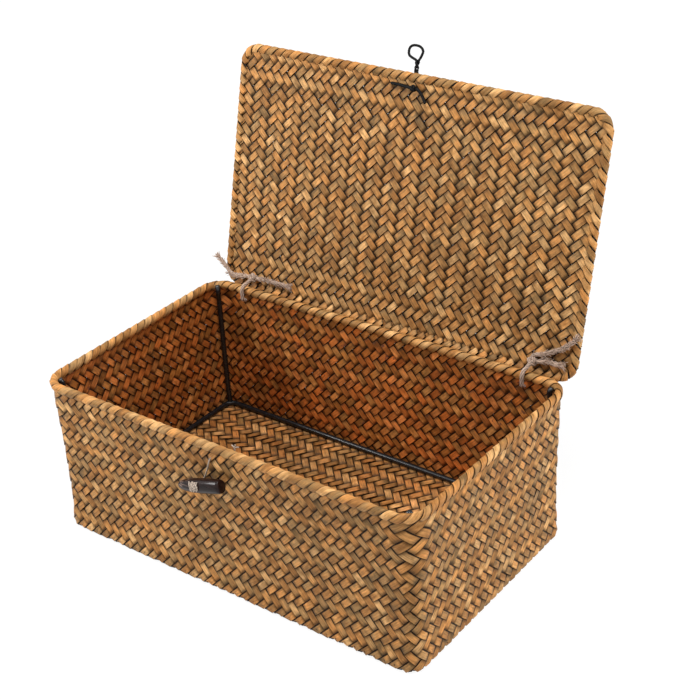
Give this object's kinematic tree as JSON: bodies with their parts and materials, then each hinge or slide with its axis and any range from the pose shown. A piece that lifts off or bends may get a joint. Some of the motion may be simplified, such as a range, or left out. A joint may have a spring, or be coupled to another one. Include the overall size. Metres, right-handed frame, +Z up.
{
  "type": "woven lidded box",
  "caption": "Rectangular plaited seagrass box on a black wire frame, with a plaited lid tied on at the back and a cord loop and wooden toggle to close it in front.",
  "frame": {"origin": "middle of the box's underside, where its floor rests on the ground", "axes": "+X along the box's length to the right of its front, +Y to the back with the lid's ties, +Z up; the toggle side faces -Y"},
  "size_m": [0.3389, 0.2805, 0.334],
  "materials": {
    "woven_strip": "satin",
    "folded_strip": "satin",
    "frame_wire": "gloss",
    "twine": "matte",
    "black_cord": "matte",
    "pale_thread": "matte",
    "toggle_wood": "gloss"
  },
  "bodies": {
    "basket": {"woven_body": "woven_strip", "body_rim": "folded_strip", "rim_wire": "frame_wire", "floor_wire": "frame_wire", "post_front_left": "frame_wire", "post_front_right": "frame_wire", "post_back_left": "frame_wire", "post_back_right": "frame_wire", "left_tie_loop": "twine", "right_tie_loop": "twine", "thread_anchor": "pale_thread"},
    "lid": {"lid_panel": "woven_strip", "lid_border": "folded_strip", "lid_wire": "frame_wire", "left_tie_knot": "twine", "right_tie_knot": "twine", "left_tie_long_tail": "twine", "left_tie_rim_tail": "twine", "right_tie_long_tail": "twine", "right_tie_short_tail": "twine", "loop_knot": "black_cord", "loop_tail_left": "black_cord", "loop_tail_right": "black_cord", "loop_root": "black_cord"},
    "closing_loop": {"closing_loop": "black_cord"},
    "toggle_thread": {"toggle_thread": "pale_thread"},
    "toggle": {"toggle_peg": "toggle_wood", "toggle_stitch": "pale_thread"}
  },
  "joints": [
    {"name": "lid_hinge", "type": "hinge", "parent": "basket", "child": "lid", "pos_m": [0, 0.0999, 0.1237], "axis": [1, 0, 0], "range_deg": [0, 104], "deforming": ["left_tie_loop", "right_tie_loop", "left_tie_long_tail", "right_tie_long_tail"]},
    {"name": "loop_swing", "type": "hinge", "parent": "lid", "child": "closing_loop", "pos_m": [-0.002, 0.16192, 0.31704], "axis": [1, 0, 0], "range_deg": [-15, 90], "stiffness_Nm_per_rad": 0.0004},
    {"name": "toggle_lift", "type": "hinge", "parent": "basket", "child": "toggle_thread", "pos_m": [-0.0017, -0.10017, 0.1179], "axis": [-1, 0, 0], "range_deg": [0, 90]},
    {"name": "toggle_turn", "type": "hinge", "parent": "toggle_thread", "child": "toggle", "pos_m": [-0.00913, -0.10607, 0.0965], "axis": [0, 1, 0], "range_deg": [-15, 25]}
  ]
}
